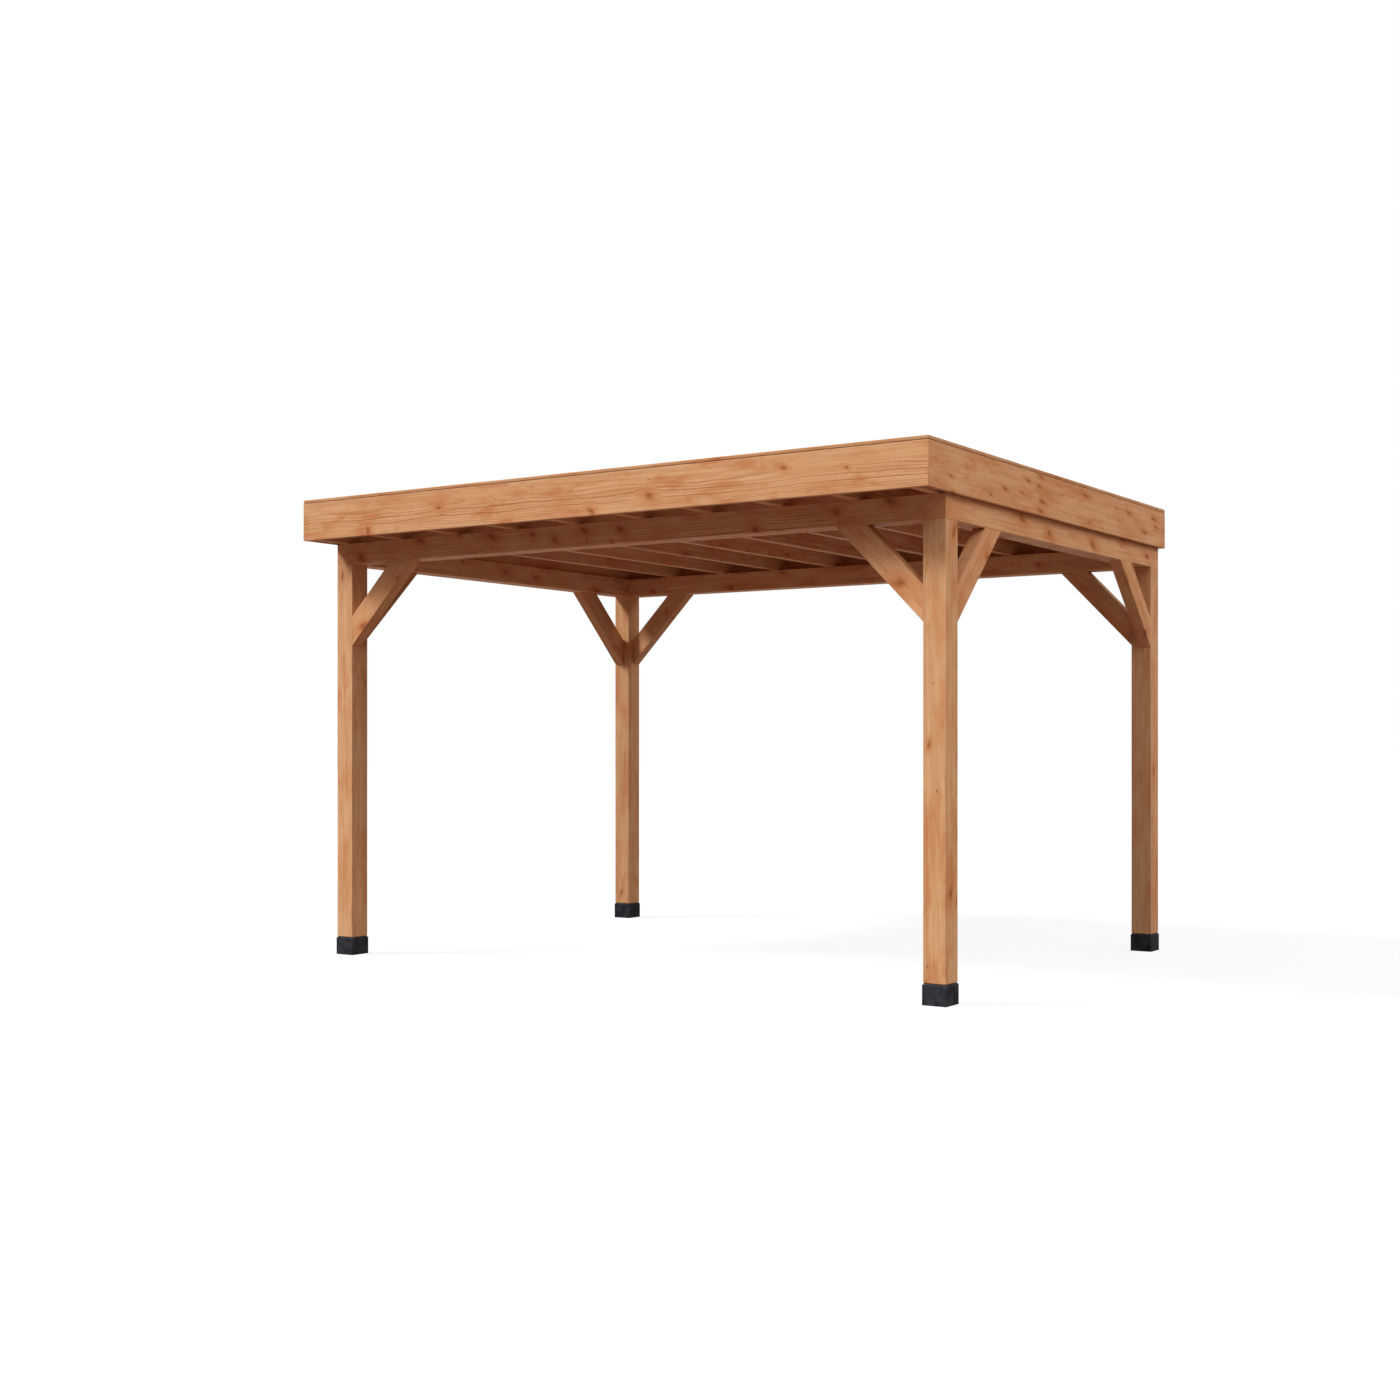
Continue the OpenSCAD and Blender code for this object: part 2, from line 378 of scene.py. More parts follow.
# %% Node group: fibres
masks = ("Streak", "Vein", "Fine", "Patch", "Blotch", "Bloom")
fibres, given, result = new_group("wood_fibres", {"Grain": None}, masks)
streak = fibres.cloud(fibres.stretch(given["Grain"], 2.4, 85.0), 1.0, 3.0, 0.6)
fibres.feed(result["Streak"], fibres.fit(streak, 0.3, 0.7))
vein = fibres.cloud(fibres.stretch(given["Grain"], 2.0, 48.0), 1.0, 2.0, 0.55)
fibres.feed(result["Vein"], fibres.fit(vein, 0.56, 0.74))
fibres.feed(result["Fine"], fibres.cloud(fibres.stretch(given["Grain"], 9.0, 520.0), 1.0, 2.0, 0.6))
patch = fibres.cloud(fibres.stretch(given["Grain"], 2.6, 9.0), 1.0, 3.0, 0.55)
fibres.feed(result["Patch"], fibres.fit(patch, 0.42, 0.72))
spread = fibres.cloud(fibres.stretch(given["Grain"], 5.5, 17.0), 1.0, 3.0, 0.6)
fibres.feed(result["Blotch"], fibres.fit(spread, 0.5, 0.68))
fibres.feed(result["Bloom"], fibres.fit(spread, 0.3, 0.47, 1.0, 0.0))
print("wood_fibres:", len(fibres.tree.nodes), "nodes")

# %% Node group: drying checks
checks, given, result = new_group("drying_checks", {"Grain": None, "Share": 0.3}, ("Check",))
split = checks.cloud(checks.stretch(given["Grain"], 0.55, 26.0), 1.0, 1.0)
thin = checks.calc("ABSOLUTE", checks.calc("SUBTRACT", split, 0.5))
some = checks.cloud(checks.stretch(given["Grain"], 2.4, 12.0), 1.0, 1.0)
limit = checks.calc("SUBTRACT", 0.85, checks.calc("MULTIPLY", given["Share"], 0.4))
open_here = checks.fit(checks.calc("SUBTRACT", some, limit), 0.0, 0.05)
checks.feed(result["Check"], checks.calc("MULTIPLY", checks.fit(thin, 0.002, 0.006, 1.0, 0.0), open_here))
print("drying_checks:", len(checks.tree.nodes), "nodes")

# %% [markdown]
# ## One planed surface from all of it
# The last group stacks these masks into a colour, a roughness and a height. It is the same for every
# timber; each material only gives its own tones, ring gap and checks. Eased edges are a little paler,
# partly because sanding takes the darker skin off and partly as a painted highlight along the arrises,
# and sawn ends slightly darker because they drink the oil.

# %% Node group: planed timber, its masks
PIN_KNOTS = {"Share": 0.22, "Every": 0.26, "Size": 0.03, "Turn": 0.57}
timber, given, result = new_group(
    "planed_timber",
    {
        "Grain": None, "Eased": 0.0, "Sawn": 0.0, "Tone": 0.0, "Rings": 0.5, "Blotches": 0.5,
        "Knot share": 0.4, "Knot every": 0.4, "Knot size": 0.1, "Knot turn": 0.9,
        "Pale": (0.6, 0.32, 0.16, 1.0), "Warm": (0.5, 0.24, 0.11, 1.0), "Red": (0.5, 0.2, 0.08, 1.0),
        "Late wood": (0.3, 0.12, 0.05, 1.0), "Knot": (0.2, 0.07, 0.03, 1.0),
        "Ring gap": 0.007, "Wander": 0.02, "Checks": 0.2, "Veins": 0.4,
    },
    ("Color", "Roughness", "Height"),
)
grain = {"Grain": given["Grain"]}
knot_shape = {
    "Share": given["Knot share"], "Every": given["Knot every"],
    "Size": given["Knot size"], "Turn": given["Knot turn"],
}
branch = use_group(timber, "branch_knots", {**grain, **knot_shape})
pins = use_group(timber, "branch_knots", {**grain, **PIN_KNOTS})
growth = {"Gap": given["Ring gap"], "Wander": given["Wander"], "Pull": branch["Pull"]}
year = use_group(timber, "growth_rings", {**grain, **growth})
fibre = use_group(timber, "wood_fibres", grain)
check = use_group(timber, "drying_checks", {**grain, "Share": given["Checks"]})["Check"]
print("planed_timber:", len(timber.tree.nodes), "nodes for its masks")

# %% Node group: planed timber, its colour
KNOT_HEART = (0.10, 0.036, 0.016, 1.0)
CHECK_DARK = (0.045, 0.017, 0.008, 1.0)
bloom = timber.calc("MULTIPLY", given["Blotches"], 0.7)
swirl = timber.calc("MULTIPLY_ADD", fibre["Fine"], 0.6, 0.25)
dark_spot = timber.calc("MAXIMUM", timber.calc("MULTIPLY", branch["Core"], 0.4), pins["Knot"])
layers = (
    (fibre["Streak"], 0.8, given["Warm"]),
    (fibre["Patch"], 0.55, given["Red"]),
    (fibre["Vein"], given["Veins"], given["Red"]),
    (fibre["Bloom"], bloom, given["Pale"]),
    (fibre["Blotch"], given["Blotches"], given["Red"]),
    (year["Year"], 0.15, given["Warm"]),
    (year["Late"], given["Rings"], given["Late wood"]),
    (branch["Pull"], swirl, given["Red"]),
    (branch["Knot"], 0.6, given["Knot"]),
    (dark_spot, 0.75, KNOT_HEART),
    # eased edges go paler: sanded wood, and a painted highlight along the arrises
    (given["Eased"], 0.35, given["Pale"]),
    (given["Sawn"], 0.08, given["Late wood"]),
    (check, 0.8, CHECK_DARK),
)
colour = given["Pale"]
for mask, strength, over in layers:
    colour = timber.mix(timber.calc("MULTIPLY", mask, strength), colour, over)
shade = timber.calc("MULTIPLY_ADD", fibre["Fine"], 0.12, 0.94)
shade = timber.calc("MULTIPLY_ADD", given["Tone"], 0.10, shade)
lit = timber.put("ShaderNodeCombineColor", {0: shade, 1: shade, 2: shade}).outputs[0]
timber.feed(result["Color"], timber.mix(1.0, colour, lit, "MULTIPLY"))
print("colour from", len(layers), "layers")

# %% Node group: planed timber, its roughness and height
rough = timber.calc("MULTIPLY_ADD", fibre["Streak"], 0.10, 0.56)
rough = timber.calc("MULTIPLY_ADD", year["Late"], -0.08, rough)
timber.feed(result["Roughness"], timber.calc("MULTIPLY_ADD", given["Sawn"], 0.15, rough))
lift = timber.calc("MULTIPLY_ADD", year["Late"], -0.35, timber.calc("MULTIPLY", fibre["Fine"], 0.4))
lift = timber.calc("MULTIPLY_ADD", branch["Knot"], 0.3, lift)
timber.feed(result["Height"], timber.calc("MULTIPLY_ADD", check, -1.6, lift))
print("planed_timber:", len(timber.tree.nodes), "nodes")

# %% [markdown]
# ## The timber finishes
# All the wood on this canopy is one pale reddish softwood with a clear warm oil on it. What differs is
# how it was sawn: posts are close-grained and nearer to straw, beams have bolder rings, the edge boards
# are wide and show broad figure with small knots, and joists and deck are plainer stock. A row of values
# per finish is all that takes. The group gives what changes over the surface, and what is the same all
# over it, such as the gloss, is set on the shader itself.


# %% Helpers: colour and shader
def srgb(red, green, blue):
    """A picked screen colour, 0 to 255, as the linear colour that a shader takes."""
    parts = []
    for value in (red, green, blue):
        share = value / 255.0
        parts.append(share / 12.92 if share <= 0.04045 else ((share + 0.055) / 1.055) ** 2.4)
    return (*parts, 1.0)


finishes = {}


def make_finish(slot, suffix, group, feeds, bump, constants):
    """One material: feeds takes its bench and gives the group's inputs; constants go on the shader."""
    material = bpy.data.materials.new(f"{slot}_{suffix}")
    bench = clear_bench(material)
    surface = use_group(bench, group, feeds(bench))
    strength, depth = bump
    raised = {"Height": surface["Height"], "Strength": strength, "Distance": depth}
    varying = {
        "Base Color": surface["Color"], "Roughness": surface["Roughness"],
        "Normal": bench.put("ShaderNodeBump", raised).outputs[0],
    }
    shader = bench.put("ShaderNodeBsdfPrincipled", {**varying, **constants})
    bench.put("ShaderNodeOutputMaterial", {"Surface": shader.outputs[0]})
    finishes[slot] = material
    print(material.name, len(material.node_tree.nodes), "nodes")


print("finish helpers ready")

# %% Materials: timber
PLANED_BUMP, OILED_GLOSS = (0.6, 0.0009), 0.03


def timber_finish(slot, values):
    def feeds(bench):
        stock = bench.split(bench.attribute("stock", "Vector"))
        branch = bench.split(bench.attribute("branch", "Vector"))
        return {
            "Grain": bench.attribute("grain", "Vector"), "Eased": bench.attribute("eased", "Fac"),
            "Sawn": bench.attribute("sawn", "Fac"),
            "Tone": stock["X"], "Rings": stock["Y"], "Blotches": stock["Z"],
            "Knot share": branch["X"], "Knot every": branch["Y"], "Knot size": branch["Z"],
            "Knot turn": bench.attribute("branch_turn", "Fac"), **values,
        }

    make_finish(slot, "oiled", "planed_timber", feeds, PLANED_BUMP, {"Specular IOR Level": OILED_GLOSS})


oiled = {
    "Pale": srgb(216, 170, 128), "Warm": srgb(199, 147, 104), "Red": srgb(190, 117, 71),
    "Late wood": srgb(158, 99, 62), "Knot": srgb(158, 89, 51),
}
straw = {"Pale": srgb(217, 174, 132), "Warm": srgb(200, 151, 109)}
timber_finish("post_timber", {**oiled, **straw, "Ring gap": 0.010, "Checks": 0.5})
timber_finish("beam_timber", {**oiled, "Ring gap": 0.013, "Checks": 0.3, "Wander": 0.03})
timber_finish("joist_timber", {**oiled, "Ring gap": 0.010, "Checks": 0.15})
timber_finish("edge_board", {**oiled, "Ring gap": 0.009, "Checks": 0.1, "Wander": 0.03})
timber_finish("deck_board", {**oiled, "Ring gap": 0.009, "Checks": 0.05})

# %% [markdown]
# ## Feet, roof sheet and screws
# The feet are moulded blocks in a near-black grey: matt, slightly mottled, with a fine sandy skin and
# edges that scuff paler. The roof sheet is black rubber with a little dust in broad patches. The screws
# are satin steel, dulled by the weather, with painted shade darkening the drive. All three are the same
# thing at different scales, so one group does it: broad mottling and fine sand move the colour from a
# dark tone to a light one, and marked faces move it further: worn edges on the feet add to it, and the
# screws' drive takes from it as painted shade. It reads the piece's own coordinates.

# %% Node group: mottled skin
skin, given, result = new_group(
    "mottled_skin",
    {
        "Spot": None, "Wear and drive shade": 0.0, "Marked": 0.25, "Scale": 22.0, "Grit": 420.0, "Rough": 0.62,
        "Dark": (0.02, 0.02, 0.02, 1.0), "Light": (0.06, 0.06, 0.06, 1.0),
    },
    ("Color", "Roughness", "Height"),
)
mottle = skin.fit(skin.cloud(given["Spot"], given["Scale"], 4.0, 0.6), 0.35, 0.7)
sand = skin.cloud(given["Spot"], given["Grit"], 2.0, 0.6)
# marked faces: paler where a foot's edges are worn, darker as painted shade in a screw's drive
amount = skin.calc("MULTIPLY_ADD", given["Wear and drive shade"], given["Marked"], skin.calc("MULTIPLY", mottle, 0.6))
amount = skin.calc("MULTIPLY_ADD", skin.fit(sand, 0.45, 0.75), 0.25, amount)
skin.feed(result["Color"], skin.mix(amount, given["Dark"], given["Light"]))
skin.feed(result["Roughness"], skin.calc("MULTIPLY_ADD", mottle, 0.12, given["Rough"]))
skin.feed(result["Height"], sand)
print("mottled_skin:", len(skin.tree.nodes), "nodes")

# %% Materials: foot block, roof sheet, steel
SANDY_BUMP = (0.35, 0.0008)


def plain_finish(slot, values, specular, metal=0.0):
    def feeds(bench):
        spot = bench.put("ShaderNodeTexCoord").outputs["Object"]
        return {"Spot": spot, "Wear and drive shade": bench.attribute("eased", "Fac"), **values}

    constants = {"Specular IOR Level": specular, "Metallic": metal}
    make_finish(slot, "moulded", "mottled_skin", feeds, SANDY_BUMP, constants)


near_black = {"Dark": srgb(38, 41, 47), "Light": srgb(68, 71, 77)}
rubber = {"Dark": srgb(35, 35, 37), "Light": srgb(51, 50, 49)}
# Marked below zero darkens the drive: painted shade in the recess
steel = {"Dark": srgb(112, 110, 106), "Light": srgb(148, 146, 142), "Marked": -0.6}
plain_finish("foot_block", {**near_black, "Scale": 22.0, "Grit": 420.0}, 0.01)
plain_finish("roof_sheet", {**rubber, "Scale": 3.2, "Grit": 160.0}, 0.2)
plain_finish("fixing_steel", {**steel, "Scale": 90.0, "Grit": 900.0, "Rough": 0.36}, 0.5, 1.0)

# %% [markdown]
# ## The saw bench
# Every timber starts as the same thing: a squared blank that fills the box of its solid. A saw cut takes
# a corner off on a plane and closes the cut. A bevel eases the edges, as a planer or sandpaper does; two
# rounded segments are enough to catch a line of light.


# %% Helpers: blank and saw
def blank(low, high):
    bm = bmesh.new()
    bmesh.ops.create_cube(bm, size=1.0)
    bmesh.ops.scale(bm, vec=Vector(high) - Vector(low), verts=bm.verts)
    bmesh.ops.translate(bm, vec=(Vector(low) + Vector(high)) / 2, verts=bm.verts)
    bm.faces.layers.float.new("eased")
    bm.faces.layers.float.new("sawn")
    return bm


def saw(bm, spot, away):
    """Cuts on the plane through spot; the side that away points to falls off."""
    body = bm.verts[:] + bm.edges[:] + bm.faces[:]
    cut = bmesh.ops.bisect_plane(bm, geom=body, dist=1e-6, plane_co=spot, plane_no=away, clear_outer=True)
    rim = [item for item in cut["geom_cut"] if isinstance(item, bmesh.types.BMEdge)]
    bmesh.ops.edgeloop_fill(bm, edges=rim)
    bmesh.ops.recalc_face_normals(bm, faces=bm.faces)


print("saw ready")

# %% Helpers: edges and easing
NEAR = 1e-5
SHARP = 1.2


def edges_at(bm, test):
    """The edges whose two ends both pass the test."""
    return [edge for edge in bm.edges if all(test(vert.co) for vert in edge.verts)]


def sharp_edges(bm):
    return [edge for edge in bm.edges if edge.calc_face_angle(0.0) > SHARP]


def ease(bm, width, edges=None, segments=2, wear_and_sheen=1.0):
    """Rounds the given edges, or all of them, and marks the new faces: timber paints them paler, for
    sanding and as a painted highlight, and a foot paints them paler where it scuffs.
    """
    made = bmesh.ops.bevel(
        bm, geom=edges or bm.edges[:], offset=width, offset_type="OFFSET", affect="EDGES",
        segments=segments, profile=0.5, material=-1, clamp_overlap=True,
    )
    mark = bm.faces.layers.float["eased"]
    for face in made["faces"]:
        face[mark] = wear_and_sheen
        face.smooth = True


print("edges up to", round(math.degrees(SHARP)), "degrees count as soft")

# %% [markdown]
# ## Telling a piece its grain
# Before a timber leaves the bench, each vertex is told its place in the tree. A cut says where the piece
# lay in the trunk, the stock how dark and how marked it is, and the knots how many, how far apart, how
# big and how long they are. One seeded random generator draws what differs by chance, so that every run
# gives the same canopy. Then the piece is handed to the frame.

# %% Helper: grain
ACROSS, DEEP, UP = Vector((1, 0, 0)), Vector((0, 1, 0)), Vector((0, 0, 1))
TRUNK = 40.0
END_GRAIN = 0.6
Cut = namedtuple("Cut", "bark reach offset")
Stock = namedtuple("Stock", "tone rings blotches")
Knots = namedtuple("Knots", "share every size slim")
PLAIN_KNOTS = Knots(share=0.4, every=0.4, size=0.1, slim=3.0)
pick = random.Random(2024)


def loose_tone(share=1.0):
    return pick.uniform(-0.6, 0.6) * share


def lay_grain(bm, along, cut, stock, knots=PLAIN_KNOTS):
    """Stores each vertex's place in the tree.

    along is a unit vector up the trunk, and cut.bark points from the pith to the timber's middle, which
    lies cut.reach away from it and cut.offset to the side.
    """
    bark = Vector(cut.bark)
    bark = (bark - along * bark.dot(along)).normalized()
    side = along.cross(bark)
    middle = sum((vert.co for vert in bm.verts), Vector()) / len(bm.verts)
    start = pick.uniform(0.0, TRUNK)
    grain = bm.verts.layers.float_vector.new("grain")
    sort = bm.verts.layers.float_vector.new("stock")
    branch = bm.verts.layers.float_vector.new("branch")
    turn = bm.verts.layers.float.new("branch_turn")
    for vert in bm.verts:
        arm = vert.co - middle
        vert[grain] = (arm.dot(along) + start, arm.dot(bark) + cut.reach, arm.dot(side) + cut.offset)
        vert[sort] = stock
        vert[branch] = (knots.share, knots.every, knots.size)
        vert[turn] = knots.every / (knots.slim * cut.reach)
    sawn = bm.faces.layers.float["sawn"]
    for face in bm.faces:
        face[sawn] = 1.0 if abs(face.normal.dot(along)) > END_GRAIN else 0.0


print("plain stock has", PLAIN_KNOTS)


# %% Helper: hand over
def hand_over(bm, title, slot, *nodes):
    """Makes the object, sets it on the frame and hides the solids it stands for."""
    mesh = bpy.data.meshes.new(title)
    bm.to_mesh(mesh)
    bm.free()
    mesh.materials.append(finishes[slot])
    piece = bpy.data.objects.new(title, mesh)
    scene.collection.objects.link(piece)
    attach(piece, "root")
    if nodes:
        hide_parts(*nodes)
    print(title, len(mesh.polygons), "faces")
    return piece


print("finishes in stock:", ", ".join(finishes))

# %% [markdown]
# ## Posts
# Four posts, 120 mm square, planed with small rounded arrises. At the foot the edge is cut back to a
# bevel so that water drips off. Its faces are painted paler, as sanded wood and as a painted highlight,
# and show as a pale line above the dark foot.
# The pith lies outside each post, on a different side every time, so no two faces look alike.

# %% Posts
POST_BEVEL, POST_ARRIS = 0.005, 0.0025
POST_KNOTS = Knots(share=0.5, every=0.36, size=0.1, slim=3.0)
post_cuts = {
    "front_left": Cut((0.7, -0.8, 0.0), 0.16, 0.02), "front_right": Cut((0.75, -0.65, 0.0), 0.15, -0.01),
    "back_left": Cut((0.6, -0.8, 0.0), 0.17, -0.02), "back_right": Cut((0.8, -0.6, 0.0), 0.15, 0.02),
}
for corner, cut in post_cuts.items():
    node = f"post_{corner}"
    low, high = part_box(node)
    post = blank(low, high)
    # the foot bevel's faces are marked: paler as sanded wood and as a painted highlight
    ease(post, POST_BEVEL, edges_at(post, lambda spot: spot.z < low.z + NEAR), 1)
    ease(post, POST_ARRIS, sharp_edges(post))
    lay_grain(post, UP, cut, Stock(tone=loose_tone(0.5), rings=0.38, blotches=0.45), POST_KNOTS)
    hand_over(post, f"{node}_planed", "post_timber", node)

# %% [markdown]
# ## Feet
# Each post stands on a moulded block a little wider than itself. Its top edge slopes so that rain runs
# off, and the other edges are rounded like anything that comes out of a mould.

# %% Feet
FOOT_SLOPE, FOOT_ROUND = 0.006, 0.0025
for corner in post_cuts:
    node = f"foot_{corner}"
    low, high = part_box(node)
    foot = blank(low, high)
    ease(foot, FOOT_SLOPE, edges_at(foot, lambda spot: spot.z > high.z - NEAR), 1)
    ease(foot, FOOT_ROUND, sharp_edges(foot))
    hand_over(foot, f"{node}_moulded", "foot_block", node)

# %% [markdown]
# ## Beams
# The two side beams run the full depth and show their sawn ends at the front; the front and back beams
# fit between them. Their eased edges meet in a fine dark line, which is all that marks the joint.
# The front beam was cut well to one side of the pith, so its face shows close lines and small knots.

# %% Beams
BEAM_ARRIS = 0.003
BEAM_KNOTS = Knots(share=0.6, every=0.33, size=0.11, slim=2.8)
FRONT_KNOTS = Knots(share=0.95, every=0.28, size=0.12, slim=4.0)
beams = {
    "beam_front": (ACROSS, Cut((0.0, -1.0, -0.8), 0.15, 0.12), 1.4, FRONT_KNOTS),
    "beam_back": (ACROSS, Cut((0.0, -1.0, -0.7), 0.16, -0.03), 0.9, BEAM_KNOTS),
    "beam_left": (DEEP, Cut((1.0, 0.0, -0.4), 0.20, -0.05), 0.9, BEAM_KNOTS),
    "beam_right": (DEEP, Cut((1.0, 0.0, -0.7), 0.16, -0.02), 0.5, BEAM_KNOTS),
}
for node, (along, cut, strength, knotting) in beams.items():
    beam = blank(*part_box(node))
    ease(beam, BEAM_ARRIS)
    lay_grain(beam, along, cut, Stock(tone=loose_tone(0.6), rings=strength, blotches=0.45), knotting)
    hand_over(beam, f"{node}_planed", "beam_timber", node)

# %% [markdown]
# ## Knee braces
# A brace is a short plank set at 45 degrees in each corner of the frame, flush with the outer faces. The
# blank fills the whole corner, and two saw cuts leave the sloping plank: one along its lower face, and
# one a plank's width above it. The blank's own faces are then the mitred ends against post and beam.

# %% Braces
BRACE_WIDE, BRACE_ARRIS = 0.120, 0.0025
BRACE_KNOTS = Knots(share=0.55, every=0.3, size=0.14, slim=3.0)
towards_post = {
    "front_brace_left": -ACROSS, "front_brace_right": ACROSS,
    "back_brace_left": -ACROSS, "back_brace_right": ACROSS,
    "left_brace_front": -DEEP, "left_brace_back": DEEP,
    "right_brace_front": -DEEP, "right_brace_back": DEEP,
}
lower_faces = []
for node, post_way in towards_post.items():
    low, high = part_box(node)
    down = (-post_way - UP).normalized()
    slope = (UP - post_way).normalized()
    half = (high - low) / 2
    toe = (low + high) / 2 + Vector((post_way.x * half.x, post_way.y * half.y, -half.z))
    brace = blank(low, high)
    saw(brace, toe, down)
    saw(brace, toe - down * BRACE_WIDE, -down)
    ease(brace, BRACE_ARRIS)
    bark = down + post_way.cross(UP) * pick.choice((-0.9, 0.9))
    cut = Cut(bark, pick.uniform(0.14, 0.2), pick.uniform(-0.03, 0.03))
    lay_grain(brace, slope, cut, Stock(tone=loose_tone(0.6), rings=0.7, blotches=0.5), BRACE_KNOTS)
    lower_faces.append((toe, slope, down, (high.z - low.z) * math.sqrt(2.0)))
    hand_over(brace, f"{node}_planed", "beam_timber", node)

# %% [markdown]
# ## Joists and kerbs
# Ten joists run front to back on top of the beams. They are plain planed stock, so each differs only in
# where its pith lies and how dark it is. The kerbs are battens on the deck's edge; they end up under the
# roof sheet, but they are made of the same stock.

# %% Joists
JOIST_ARRIS = 0.003
joist_names = [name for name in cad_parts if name.startswith("joist_")]
for node in sorted(joist_names, key=lambda name: int(name.split("_")[1])):
    joist = blank(*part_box(node))
    ease(joist, JOIST_ARRIS)
    bark = (pick.choice((-1.0, 1.0)), 0.0, pick.choice((-0.8, 0.8)))
    cut = Cut(bark, pick.uniform(0.06, 0.12), pick.uniform(-0.04, 0.04))
    lay_grain(joist, DEEP, cut, Stock(tone=loose_tone(), rings=0.7, blotches=0.4))
    hand_over(joist, f"{node}_planed", "joist_timber", node)

# %% Kerbs
KERB_ARRIS = 0.002
sides = {
    "front": (ACROSS, -DEEP), "back": (ACROSS, DEEP), "left": (DEEP, -ACROSS), "right": (DEEP, ACROSS),
}
for side, (along, out) in sides.items():
    node = f"kerb_{side}"
    kerb = blank(*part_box(node))
    ease(kerb, KERB_ARRIS)
    lay_grain(kerb, along, Cut(UP, 0.08, 0.0), Stock(tone=loose_tone(), rings=0.5, blotches=0.4))
    hand_over(kerb, f"{node}_planed", "joist_timber", node)

# %% [markdown]
# ## Deck boards
# From below the deck shows as boards laid across the joists, with a small V between neighbours where
# tongue meets groove. The V is a bevel on the lower long edges, cut by a moulder and not sanded, so it
# isn't marked, and it gets neither the sanded paleness nor the painted highlight of eased edges. All
# boards are one piece, because they stand for one solid, but every board has its own grain.

# %% Deck boards
BOARDS, BOARD_V, LONG = 22, 0.004, 1.0
low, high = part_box("roof_deck")
wide = (high.y - low.y) / BOARDS
deck = bmesh.new()
for count in range(BOARDS):
    front = low.y + wide * count
    board = blank((low.x, front, low.z), (high.x, front + wide, high.z))
    under = edges_at(board, lambda spot: spot.z < low.z + NEAR)
    ease(board, BOARD_V, [edge for edge in under if edge.calc_length() > LONG], 1, wear_and_sheen=0.0)
    bark = (0.0, pick.uniform(-0.5, 0.5), -1.0)
    cut = Cut(bark, pick.uniform(0.06, 0.14), pick.uniform(-0.04, 0.04))
    lay_grain(board, ACROSS, cut, Stock(tone=loose_tone(), rings=0.7, blotches=0.4))
    strip = bpy.data.meshes.new("deck_strip")
    board.to_mesh(strip)
    board.free()
    deck.from_mesh(strip)
    bpy.data.meshes.remove(strip)
hand_over(deck, "deck_boards", "deck_board", "roof_deck")
print(BOARDS, "boards,", round(wide * 1000, 1), "mm wide")

# %% [markdown]
# ## Edge boards
# The tall board round the roof is what the eye meets first. Its corners are mitred: each end is a saw cut
# at 45 degrees through the outer corner, so that no end grain shows. The pith lies behind the board,
# near its top, which leaves the upper part broad and calm and draws the rings close in the lower third.


# %% Helper: mitred board
def mitred(low, high, along, out, width):
    """A board whose two ends are cut at 45 degrees through its outer corners."""
    board = blank(low, high)
    middle = (low + high) / 2
    half = (high - low) / 2
    for end in (-1, 1):
        tip = middle + Vector([half[axis] * (along[axis] * end + out[axis]) for axis in range(3)])
        saw(board, tip, (along * end - out).normalized())
    ease(board, width)
    return board


print("mitre ready")

# %% Fascia boards
FASCIA_ARRIS = 0.0018
# For each side: reach from the pith, height of the pith above the middle, rings, blotches, knots.
fascia_figure = {
    "front": (0.12, 0.075, 1.0, 0.65, Knots(share=0.6, every=0.34, size=0.08, slim=2.6)),
    "back": (0.13, 0.03, 0.9, 0.6, Knots(share=0.5, every=0.36, size=0.09, slim=2.6)),
    "left": (0.2, -0.03, 0.6, 0.6, Knots(share=0.6, every=0.3, size=0.12, slim=3.0)),
    "right": (0.25, 0.02, 0.3, 0.5, Knots(share=0.42, every=0.2, size=0.18, slim=4.0)),
}
for side, (along, out) in sides.items():
    node = f"fascia_{side}"
    low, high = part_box(node)
    board = mitred(low, high, along, out, FASCIA_ARRIS)
    reach, above, strength, blotches, knotting = fascia_figure[side]
    cut = Cut(out, reach, above if along.cross(out).z < 0 else -above)
    lay_grain(board, along, cut, Stock(loose_tone(0.3), strength, blotches), knotting)
    hand_over(board, f"{node}_planed", "edge_board", node)

# %% [markdown]
# ## Roof sheet
# One sheet of black rubber lies on the deck, turns up inside the kerb and runs out under the cover
# boards. It stops a little short of the edge, and the gap is the thin dark line that shows below them.
# The sheet starts as a single face; each inset makes the next band inwards and lowers it. Then all edges
# but the corner folds are subdivided, the flat field gets the faint ripples of a sheet that was rolled
# out by hand, and a Solidify modifier gives it thickness.

# %% Roof sheet: fold it down inside the kerb
THICK, SHORT, FLANGE = 0.002, 0.004, 0.074
BENDS = 0.012  # the height that the three bends below take up
low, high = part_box("roof_membrane")
field_z = low.z + THICK
sheet = bmesh.new()
sheet.faces.layers.float.new("eased")
bmesh.ops.create_grid(sheet, x_segments=1, y_segments=1, size=0.5)
size = high - low - Vector((2 * SHORT, 2 * SHORT, 0.0))
bmesh.ops.scale(sheet, vec=(size.x, size.y, 1.0), verts=sheet.verts)
bmesh.ops.translate(sheet, vec=((low.x + high.x) / 2, (low.y + high.y) / 2, high.z), verts=sheet.verts)
sheet.faces.ensure_lookup_table()
field = sheet.faces[0]
bands = (
    (FLANGE - SHORT, 0.0),  # flat, under the cover board
    (0.0014, -0.0012),  # over the kerb's inner edge
    (0.0006, BENDS - (high.z - field_z)),  # down the kerb
    (0.004, -0.0075),  # the bend at the bottom, in two steps
    (0.011, -0.0033),
    (0.02, 0.0),  # flat border of the field
)
for inwards, down in bands:
    bmesh.ops.inset_region(
        sheet, faces=[field], thickness=inwards, depth=down, use_boundary=True, use_even_offset=True
    )
print("sheet", round(size.x, 3), "by", round(size.y, 3), "m in", len(bands), "bands")

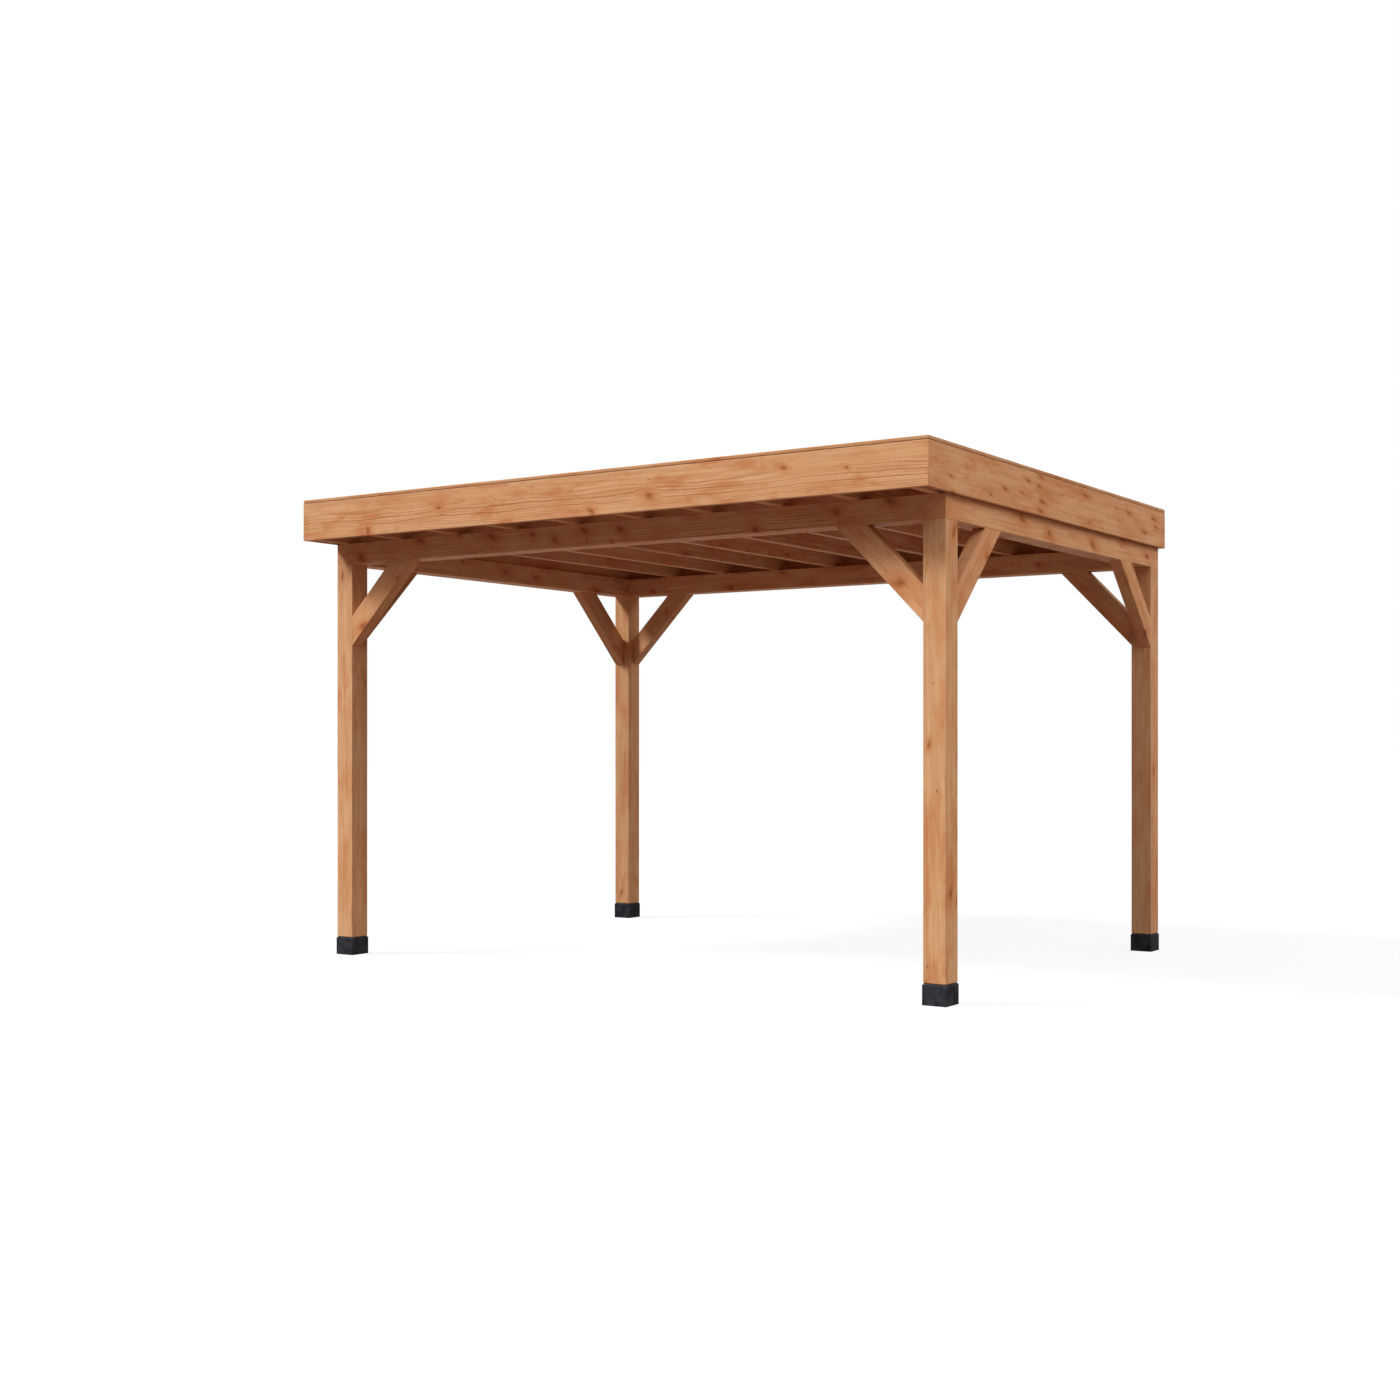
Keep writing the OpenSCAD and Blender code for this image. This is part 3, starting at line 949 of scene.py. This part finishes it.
# %% Roof sheet: ripple the field
SHEET_CUTS = 79
BORDER, FADE = 0.10, 8.0
SWELL, CREASE = 0.0012, 0.0022
run_along = []
for edge in sheet.edges:
    step = edge.verts[0].co - edge.verts[1].co
    if min(abs(step.x), abs(step.y)) < 1e-6:
        run_along.append(edge)
bmesh.ops.subdivide_edges(sheet, edges=run_along, cuts=SHEET_CUTS, use_grid_fill=True)
for vert in sheet.verts:
    if abs(vert.co.z - field_z) < 1e-4:
        x, y = vert.co.x, vert.co.y
        swell = noise.noise(Vector((x * 1.3, y * 1.1, 3.0)))
        crease = 1.0 - abs(noise.noise(Vector((x * 2.6 + y * 0.9, y * 0.7, 9.0)))) * 5.0
        inside = min(1.0, (high.x - BORDER - abs(x)) * FADE, (high.y - BORDER - abs(y)) * FADE)
        vert.co.z += max(0.0, inside) * (SWELL + SWELL * swell + CREASE * max(0.0, crease))
for face in sheet.faces:
    face.smooth = True
piece = hand_over(sheet, "roof_sheet_laid", "roof_sheet", "roof_membrane")
wall = piece.modifiers.new("sheet thickness", "SOLIDIFY")
wall.thickness = THICK
wall.offset = -1.0

# %% [markdown]
# ## Cover boards and screws
# A thin cover board caps the edge all round, mitred like the board below it and painted a shade darker:
# painted shade, so that its flat top, which takes the most light, doesn't burn out. It is screwed down
# along the kerb. The heads sit just proud of the wood, so the cover's top is planed 0.6 mm lower and the
# heads end at the roof's full height.
# Every brace has two more screws at each end, driven in from its lower face.

# %% Cover boards
# COVER_SHADE darkens the cover boards as painted shade, so their lit flat tops don't burn out
HEAD_PROUD, COVER_ARRIS, COVER_SHADE = 0.0006, 0.003, -1.3
for side, (along, out) in sides.items():
    node = f"coping_{side}"
    low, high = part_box(node)
    board = mitred(low, high - UP * HEAD_PROUD, along, out, COVER_ARRIS)
    cut = Cut(UP, 0.10, pick.uniform(-0.03, 0.03))
    lay_grain(board, along, cut, Stock(tone=COVER_SHADE + loose_tone(0.3), rings=0.6, blotches=0.4))
    hand_over(board, f"{node}_planed", "edge_board", node)

# %% Helper: screw head
HEAD_RADIUS, HEAD_TAPER, HEAD_SIDES = 0.0045, 0.0006, 12
RIM, WELL_SLOPE, WELL_DEPTH = 0.0018, 0.0002, HEAD_PROUD * 0.9


def screw_head(bm, spot, out):
    """A low round head with a sunk drive, let into the wood at spot and facing out."""
    new = bmesh.ops.create_cone(
        bm, cap_ends=True, segments=HEAD_SIDES, radius1=HEAD_RADIUS, radius2=HEAD_RADIUS - HEAD_TAPER,
        depth=2 * HEAD_PROUD,
    )["verts"]
    face = max(new[-1].link_faces, key=lambda side: side.calc_center_median().z)
    new = set(new)
    for inwards, rise in ((RIM, 0.0), (WELL_SLOPE, -WELL_DEPTH)):
        ring = bmesh.ops.inset_region(
            bm, faces=[face], thickness=inwards, depth=rise, use_boundary=True, use_even_offset=True
        )
        new.update(vert for band in ring["faces"] for vert in band.verts)
    mark = bm.faces.layers.float["eased"]
    # the drive's faces are marked, and the steel finish paints shade into them
    for well in ring["faces"] + [face]:
        well[mark] = 1.0
    turn = UP.rotation_difference(out).to_matrix().to_4x4()
    bmesh.ops.transform(bm, matrix=Matrix.Translation(spot) @ turn, verts=list(new))


print("screw heads", round(HEAD_RADIUS * 2000, 1), "mm wide")

# %% Screws
SCREW_MARGIN, SCREW_INSET = 0.14, 0.008
SCREWS_LONG, SCREWS_SHORT = 9, 7
BRACE_SHARES, BRACE_SHIFTS = (0.12, 0.88), (-0.017, 0.017)
screws = bmesh.new()
screws.faces.layers.float.new("eased")
for side, (along, out) in sides.items():
    low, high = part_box(f"coping_{side}")
    run = (high - low).dot(along) / 2 - SCREW_MARGIN
    count = SCREWS_LONG if along == ACROSS else SCREWS_SHORT
    line = (low + high) / 2 - out * SCREW_INSET
    for step in range(count):
        spot = line + along * run * (2.0 * step / (count - 1) - 1.0)
        screw_head(screws, Vector((spot.x, spot.y, cad_high.z - HEAD_PROUD)), UP)
for toe, slope, down, length in lower_faces:
    for share in BRACE_SHARES:
        for shift in BRACE_SHIFTS:
            screw_head(screws, toe + slope * length * share + slope.cross(down) * shift, down)
hand_over(screws, "screw_heads", "fixing_steel")

# %% [markdown]
# ## Sizes, and done
# The dressed canopy has to fill the same box as the solids, so its box is printed.

# %% Print the dressed box
low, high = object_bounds()
print("visual box", tuple(low), tuple(high))
